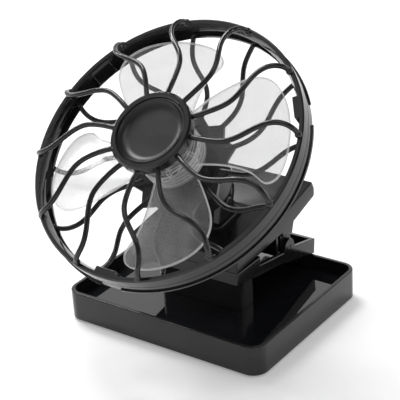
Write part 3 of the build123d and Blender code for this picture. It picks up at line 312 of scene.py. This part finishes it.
def panel_cover(name):
    """Poured clear cover over the panel, tinted nearly black, with a very even mirror gloss."""
    g = Graph(name)
    wave = g.noise(COVER_WAVE_MM, detail=1.0)
    shader = g.add(
        "BsdfPrincipled",
        Base_Color=rgb(0.012, (0.9, 0.95, 1.15)),
        Roughness=0.035,
        IOR=1.64,
        Normal=g.bump(wave, depth_mm=0.05, strength=0.35),
    )
    clear = g.add("BsdfTransparent", Color=rgb(0.25, (0.9, 0.95, 1.1)))
    mixed = g.add("MixShader", Fac=COVER_CLEAR_SHARE)
    g.feed(mixed.inputs[1], shader.outputs["BSDF"])
    g.feed(mixed.inputs[2], clear.outputs["BSDF"])
    return g.finish(mixed.outputs["Shader"])


def solar_cell(name):
    """Dark amorphous cell with thin silver collector lines."""
    g = Graph(name)
    lines = g.add(
        "TexWave",
        {"bands_direction": "Y"},
        Vector=g.place(),
        Scale=CELL_LINE_SCALE,
        Distortion=0.0,
    )
    silver = g.remap(lines.outputs["Fac"], CELL_LINE_SPAN, to_high=0.6)
    cloud = g.remap(g.noise(grain_mm=6.0), NOISE_SPAN)
    cell = g.mix_colour(cloud, (0.008, 0.009, 0.02, 1.0), (0.015, 0.014, 0.03, 1.0))
    shader = g.add("BsdfPrincipled", Base_Color=g.mix_colour(silver, cell, rgb(0.5)), Roughness=0.3)
    return g.finish(shader.outputs["BSDF"])


def rubber(name):
    """Black rubber with a dusty, uneven tone and a fine grain."""
    g = Graph(name)
    grain = g.bump(g.noise(grain_mm=0.5), depth_mm=0.03)
    dust = g.remap(g.noise(grain_mm=8.0), NOISE_SPAN)
    shade = g.mix_colour(dust, rgb(0.018), rgb(0.035))
    shader = g.add("BsdfPrincipled", Base_Color=shade, Roughness=0.75, Normal=grain)
    return g.finish(shader.outputs["BSDF"])


def metal(name, colour, roughness, brush_mm=0.2, brush=(1.0, 1.0, 12.0)):
    """Metal with fine drawn lines and uneven polish."""
    g = Graph(name)
    lines = g.noise(brush_mm, detail=2.0, stretch=brush)
    blotches = g.noise(grain_mm=3.0)
    polish = g.remap(blotches, NOISE_SPAN, to_low=roughness * 0.8, to_high=roughness * 1.3)
    tone = g.mix_colour(g.remap(lines, NOISE_SPAN), rgb(0.85, colour), rgb(1.0, colour))
    shader = g.add(
        "BsdfPrincipled",
        Base_Color=tone,
        Metallic=1.0,
        Roughness=polish,
        Normal=g.bump(lines, depth_mm=0.005, strength=0.5),
    )
    return g.finish(shader.outputs["BSDF"])


def dull(name, colour, roughness, grain_mm=1.0):
    """Plain insulating material with a mottled tone and fine grain."""
    g = Graph(name)
    mottle = g.remap(g.noise(grain_mm * 6.0), NOISE_SPAN)
    tone = g.mix_colour(mottle, rgb(0.8, colour), rgb(1.15, colour))
    shader = g.add(
        "BsdfPrincipled",
        Base_Color=tone,
        Roughness=roughness,
        Normal=g.bump(g.noise(grain_mm), depth_mm=0.02),
    )
    return g.finish(shader.outputs["BSDF"])


def floor_material():
    """Pale seamless sheet with a barely visible unevenness."""
    g = Graph("studio_floor")
    darkest, lightest = FLOOR_SHADE
    tone = g.mix_colour(g.noise(FLOOR_BLOTCH_MM), rgb(darkest), rgb(lightest))
    shader = g.add(
        "BsdfPrincipled",
        Base_Color=tone,
        Roughness=0.6,
        Emission_Color=tone,
        Emission_Strength=FLOOR_GLOW,
        Normal=g.bump(g.noise(grain_mm=3.0), depth_mm=0.02),
    )
    return g.finish(shader.outputs["BSDF"])


def all_materials():
    """One material for each of the record's material slots."""
    return {
        "tray_plastic": black_plastic(
            "tray_plastic", shade=0.012, roughness=0.2, grain_mm=0.5, grain_depth_mm=0.005
        ),
        "clip_plastic": black_plastic(
            "clip_plastic", shade=0.009, roughness=0.16, grain_mm=0.5, grain_depth_mm=0.003, index=1.38
        ),
        "guard_plastic": black_plastic(
            "guard_plastic",
            shade=0.009,
            roughness=0.1,
            grain_mm=0.6,
            grain_depth_mm=0.003,
            index=1.5,
            wave_depth_mm=0.12,
        ),
        "cap_plastic": black_plastic(
            "cap_plastic", shade=0.012, roughness=0.34, grain_mm=0.4, grain_depth_mm=0.004
        ),
        "housing_plastic": black_plastic(
            "housing_plastic", shade=0.01, roughness=0.24, grain_mm=0.5, grain_depth_mm=0.005
        ),
        "inner_plastic": dull("inner_plastic", (0.045, 0.045, 0.048), 0.5),
        "clear_plastic": clear_plastic("clear_plastic"),
        "panel_cover": panel_cover("panel_cover"),
        "solar_cell": solar_cell("solar_cell"),
        "board": dull("board", (0.02, 0.022, 0.026), 0.6),
        "rubber": rubber("rubber"),
        "steel": metal("steel", (0.62, 0.62, 0.63), 0.3),
        "black_steel": metal("black_steel", (0.07, 0.07, 0.075), 0.3),
        "spring_steel": metal("spring_steel", (0.6, 0.6, 0.62), 0.22),
        "can_steel": metal("can_steel", (0.66, 0.67, 0.68), 0.25),
        "bronze": metal("bronze", (0.6, 0.42, 0.2), 0.4),
        "brass": metal("brass", (0.75, 0.6, 0.28), 0.28),
        "copper": metal("copper", (0.72, 0.36, 0.2), 0.3, brush_mm=0.15, brush=(1.0, 1.0, 6.0)),
        "magnet": dull("magnet", (0.09, 0.09, 0.1), 0.55, grain_mm=0.4),
        "wire_cover": dull("wire_cover", (0.02, 0.02, 0.02), 0.4, grain_mm=0.6),
    }


# ---- carried-over nodes ---------------------------------------------------------------------------
def smooth_by_angle():
    """Modifier tree that joins split corners and shades smooth except across sharp edges."""
    tree = bpy.data.node_groups.new("smooth_by_angle", "GeometryNodeTree")
    tree.interface.new_socket("Geometry", in_out="INPUT", socket_type="NodeSocketGeometry")
    tree.interface.new_socket("Geometry", in_out="OUTPUT", socket_type="NodeSocketGeometry")
    source = tree.nodes.new("NodeGroupInput")
    result = tree.nodes.new("NodeGroupOutput")
    weld = tree.nodes.new("GeometryNodeMergeByDistance")
    weld.inputs["Distance"].default_value = WELD_DISTANCE
    forget = tree.nodes.new("GeometryNodeRemoveAttribute")
    forget.inputs["Name"].default_value = "custom_normal"
    faces = tree.nodes.new("GeometryNodeSetShadeSmooth")
    faces.domain = "FACE"
    edges = tree.nodes.new("GeometryNodeSetShadeSmooth")
    edges.domain = "EDGE"
    angle = tree.nodes.new("GeometryNodeInputMeshEdgeAngle")
    soft = tree.nodes.new("FunctionNodeCompare")
    soft.data_type = "FLOAT"
    soft.operation = "LESS_EQUAL"
    soft.inputs["B"].default_value = SMOOTH_ANGLE
    link = tree.links.new
    link(source.outputs["Geometry"], forget.inputs["Geometry"])
    link(forget.outputs["Geometry"], weld.inputs["Geometry"])
    link(weld.outputs["Geometry"], faces.inputs["Geometry"])
    link(faces.outputs["Geometry"], edges.inputs["Geometry"])
    link(angle.outputs["Unsigned Angle"], soft.inputs["A"])
    link(soft.outputs["Result"], edges.inputs["Shade Smooth"])
    link(edges.outputs["Geometry"], result.inputs["Geometry"])
    return tree


def finish_nodes(materials):
    """Gives every CAD node its material and its smooth shading."""
    slots = {row["node"]: row["material_slot"] for row in frame["record"]["subparts"]}
    shading = smooth_by_angle()
    for name, node in frame["nodes"].items():
        node.data.materials.clear()
        node.data.materials.append(materials[slots[name]])
        modifier = node.modifiers.new("smooth_by_angle", "NODES")
        modifier.node_group = shading


# ---- new pieces -----------------------------------------------------------------------------------
def wire_mesh(name, paths, radius):
    """One mesh holding a round wire along each path, closed at both ends."""
    bm = bmesh.new()
    for path in paths:
        add_wire(bm, path, radius)
    bmesh.ops.recalc_face_normals(bm, faces=bm.faces)
    mesh = bpy.data.meshes.new(name)
    bm.to_mesh(mesh)
    bm.free()
    for face in mesh.polygons:
        face.use_smooth = True
    piece = bpy.data.objects.new(name, mesh)
    bpy.context.scene.collection.objects.link(piece)
    return piece


def add_wire(bm, path, radius):
    """Sweeps a ring along the path, turning it as little as possible, and caps the ends."""
    heading = (path[1] - path[0]).normalized()
    side = heading.orthogonal().normalized()
    rings = []
    for i, point in enumerate(path):
        ahead = path[min(i + 1, len(path) - 1)] - path[max(i - 1, 0)]
        turn = heading.rotation_difference(ahead.normalized())
        heading = ahead.normalized()
        side = turn @ side
        up = heading.cross(side)
        ring = []
        for k in range(WIRE_SIDES):
            a = 2 * math.pi * k / WIRE_SIDES
            ring.append(bm.verts.new(point + radius * (math.cos(a) * side + math.sin(a) * up)))
        rings.append(ring)
    for first, second in zip(rings, rings[1:]):
        for k in range(WIRE_SIDES):
            after = (k + 1) % WIRE_SIDES
            bm.faces.new((first[k], first[after], second[after], second[k]))
    bm.faces.new(rings[0])
    bm.faces.new(rings[-1])


def smooth_path(knots, steps=8):
    """Round-cornered path through the knots (Catmull-Rom)."""
    path = []
    last = len(knots) - 1
    for i in range(last):
        before, here, ahead, beyond = (knots[min(max(i + k, 0), last)] for k in (-1, 0, 1, 2))
        for step in range(steps):
            t = step / steps
            swing = (ahead - before) * t + (2 * before - 5 * here + 4 * ahead - beyond) * t * t
            path.append(here + 0.5 * (swing + (3 * here - before - 3 * ahead + beyond) * t ** 3))
    return path + [knots[last]]


def joint_place(name):
    """Where a joint sits at rest, from the record."""
    joints = frame["record"]["behaviour"]["joints"]
    return Vector(next(row["pos_m"] for row in joints if row["name"] == name))


def spring_wire(side):
    """Path of one clip spring: upper leg, coil, lower leg."""
    pivot = joint_place("clip_open")
    coil = []
    for i in range(int(SPRING_TURNS * SPRING_STEPS) + 1):
        a = 2 * math.pi * i / SPRING_STEPS
        across = SPRING_X + SPRING_PITCH * i / SPRING_STEPS
        coil.append(Vector((side * across, -SPRING_R * math.sin(a), SPRING_R * math.cos(a))) * MM)
    upper = Vector((side * SPRING_X, *SPRING_UPPER_END)) * MM
    lower = Vector((coil[-1].x, SPRING_LOWER_END[0] * MM, SPRING_LOWER_END[1] * MM))
    upper_leg = [upper.lerp(coil[0], t) for t in SPRING_LEG_POINTS]
    lower_leg = [lower.lerp(coil[-1], t) for t in reversed(SPRING_LEG_POINTS)]
    return [pivot + point for point in smooth_path(upper_leg + coil + lower_leg, steps=3)]


def make_springs(material):
    """The two wound springs as one wire mesh at rest, shown in place of the hidden clip_springs node."""
    springs = wire_mesh("spring_pair", [spring_wire(side) for side in (-1, 1)], SPRING_WIRE_R * MM)
    springs.data.materials.append(material)
    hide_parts("clip_springs")
    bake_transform(springs)


def both_sides(origin, points, spread):
    """Two smooth paths, one each side of the middle plane, through points measured from the origin."""
    paths = []
    for side in (-1, 1):
        knots = [origin + Vector((side * x, y, z)) * MM for x, (y, z) in zip(spread, points)]
        paths.append(smooth_path(knots))
    return paths


def make_leads(material):
    """The fan's two covered wires: a loose loop behind the neck, then a run inside the clip."""
    runs = (
        ("neck_lead", "head_tilt", LOOP_KNOTS, LOOP_SPREAD, "head", "clip_top", LOOP_BEND),
        ("clip_lead", "clip_open", CLIP_RUN_KNOTS, CLIP_RUN_SPREAD, "clip_top", "base", CLIP_RUN_BEND),
    )
    for name, joint, knots, spread, first, second, bend in runs:
        origin = joint_place(joint)
        lead = wire_mesh(name, both_sides(origin, knots, spread), LEAD_R * MM)
        lead.data.materials.append(material)
        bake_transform(lead)


# ---- studio ---------------------------------------------------------------------------------------
def direction(azimuth, elevation):
    """Unit vector away from the fan: azimuth 0 in front and positive towards +X, in degrees."""
    a = math.radians(azimuth)
    e = math.radians(elevation)
    return Vector((math.sin(a) * math.cos(e), -math.cos(a) * math.cos(e), math.sin(e)))


def make_camera():
    """Camera with a long lens, looking down on the fan from its front and +X side."""
    camera = bpy.data.objects.new("camera", bpy.data.cameras.new("camera"))
    bpy.context.scene.collection.objects.link(camera)
    back = direction(CAMERA_AZIMUTH, CAMERA_ELEVATION)
    upright = (-back).to_track_quat("-Z", "Y").to_matrix().to_4x4()
    roll = Matrix.Rotation(math.radians(CAMERA_ROLL), 4, "Z")
    camera.matrix_world = Matrix.Translation(CAMERA_TARGET + back * CAMERA_DISTANCE) @ upright @ roll
    camera.data.sensor_width = SENSOR_WIDTH
    camera.data.lens = CAMERA_LENS
    camera.data.clip_start = 0.01
    bpy.context.scene.camera = camera


def make_floor():
    """Wide flat floor under the fan."""
    half = FLOOR_SIZE / 2
    corners = [(-half, -half, 0), (half, -half, 0), (half, half, 0), (-half, half, 0)]
    mesh = bpy.data.meshes.new("floor")
    mesh.from_pydata(corners, [], [(0, 1, 2, 3)])
    mesh.materials.append(floor_material())
    floor = bpy.data.objects.new("floor", mesh)
    bpy.context.scene.collection.objects.link(floor)


def make_sky():
    """White surroundings, darker towards the top and, in light and reflections only, towards the front."""
    world = bpy.data.worlds.new("studio_world")
    world.use_nodes = True
    tree = world.node_tree
    place = tree.nodes.new("ShaderNodeTexCoord")
    split = tree.nodes.new("ShaderNodeSeparateXYZ")
    height = tree.nodes.new("ShaderNodeMath")
    height.operation = "ARCSINE"
    share = tree.nodes.new("ShaderNodeMapRange")
    share.inputs["From Min"].default_value = -math.pi / 2
    share.inputs["From Max"].default_value = math.pi / 2
    ramp = tree.nodes.new("ShaderNodeValToRGB")
    brightest = max(level for _, level in SKY)
    stops = ramp.color_ramp.elements
    while len(stops) < len(SKY):
        stops.new(0.5)
    for stop, (degrees, level) in zip(stops, SKY):
        stop.position = (degrees + 90.0) / 180.0
        stop.color = rgb(level / brightest)
    depth = tree.nodes.new("ShaderNodeMapRange")
    depth.inputs["From Min"].default_value = SKY_TURN[0]
    depth.inputs["From Max"].default_value = SKY_TURN[1]
    depth.inputs["To Min"].default_value = SKY_FRONT
    ray = tree.nodes.new("ShaderNodeLightPath")
    seen = tree.nodes.new("ShaderNodeMath")
    seen.operation = "MAXIMUM"
    strength = tree.nodes.new("ShaderNodeMath")
    strength.operation = "MULTIPLY"
    strength.inputs[1].default_value = brightest
    background = tree.nodes["Background"]
    tree.links.new(split.outputs["Y"], depth.inputs["Value"])
    tree.links.new(depth.outputs["Result"], seen.inputs[0])
    tree.links.new(ray.outputs["Is Camera Ray"], seen.inputs[1])
    tree.links.new(seen.outputs["Value"], strength.inputs[0])
    tree.links.new(strength.outputs["Value"], background.inputs["Strength"])
    tree.links.new(place.outputs["Generated"], split.inputs["Vector"])
    tree.links.new(split.outputs["Z"], height.inputs[0])
    tree.links.new(height.outputs["Value"], share.inputs["Value"])
    tree.links.new(share.outputs["Result"], ramp.inputs["Fac"])
    tree.links.new(ramp.outputs["Color"], background.inputs["Color"])
    bpy.context.scene.world = world


def make_lights():
    """Rectangular lamps, each set by its direction from the fan and its brightness."""
    for name, azimuth, elevation, distance, width, height, radiance in LIGHTS:
        data = bpy.data.lights.new(name, "AREA")
        data.shape = "RECTANGLE"
        data.size = width
        data.size_y = height
        data.energy = radiance * math.pi * width * height
        light = bpy.data.objects.new(name, data)
        bpy.context.scene.collection.objects.link(light)
        towards = direction(azimuth, elevation)
        light.location = AIM + towards * distance
        light.rotation_mode = "QUATERNION"
        light.rotation_quaternion = (-towards).to_track_quat("-Z", "Y")


# ---- scene ----------------------------------------------------------------------------------------
MATERIALS = all_materials()
finish_nodes(MATERIALS)
make_springs(MATERIALS["spring_steel"])
make_leads(MATERIALS["wire_cover"])
make_floor()
make_sky()
make_lights()
make_camera()
bpy.context.scene.view_settings.view_transform = "Standard"
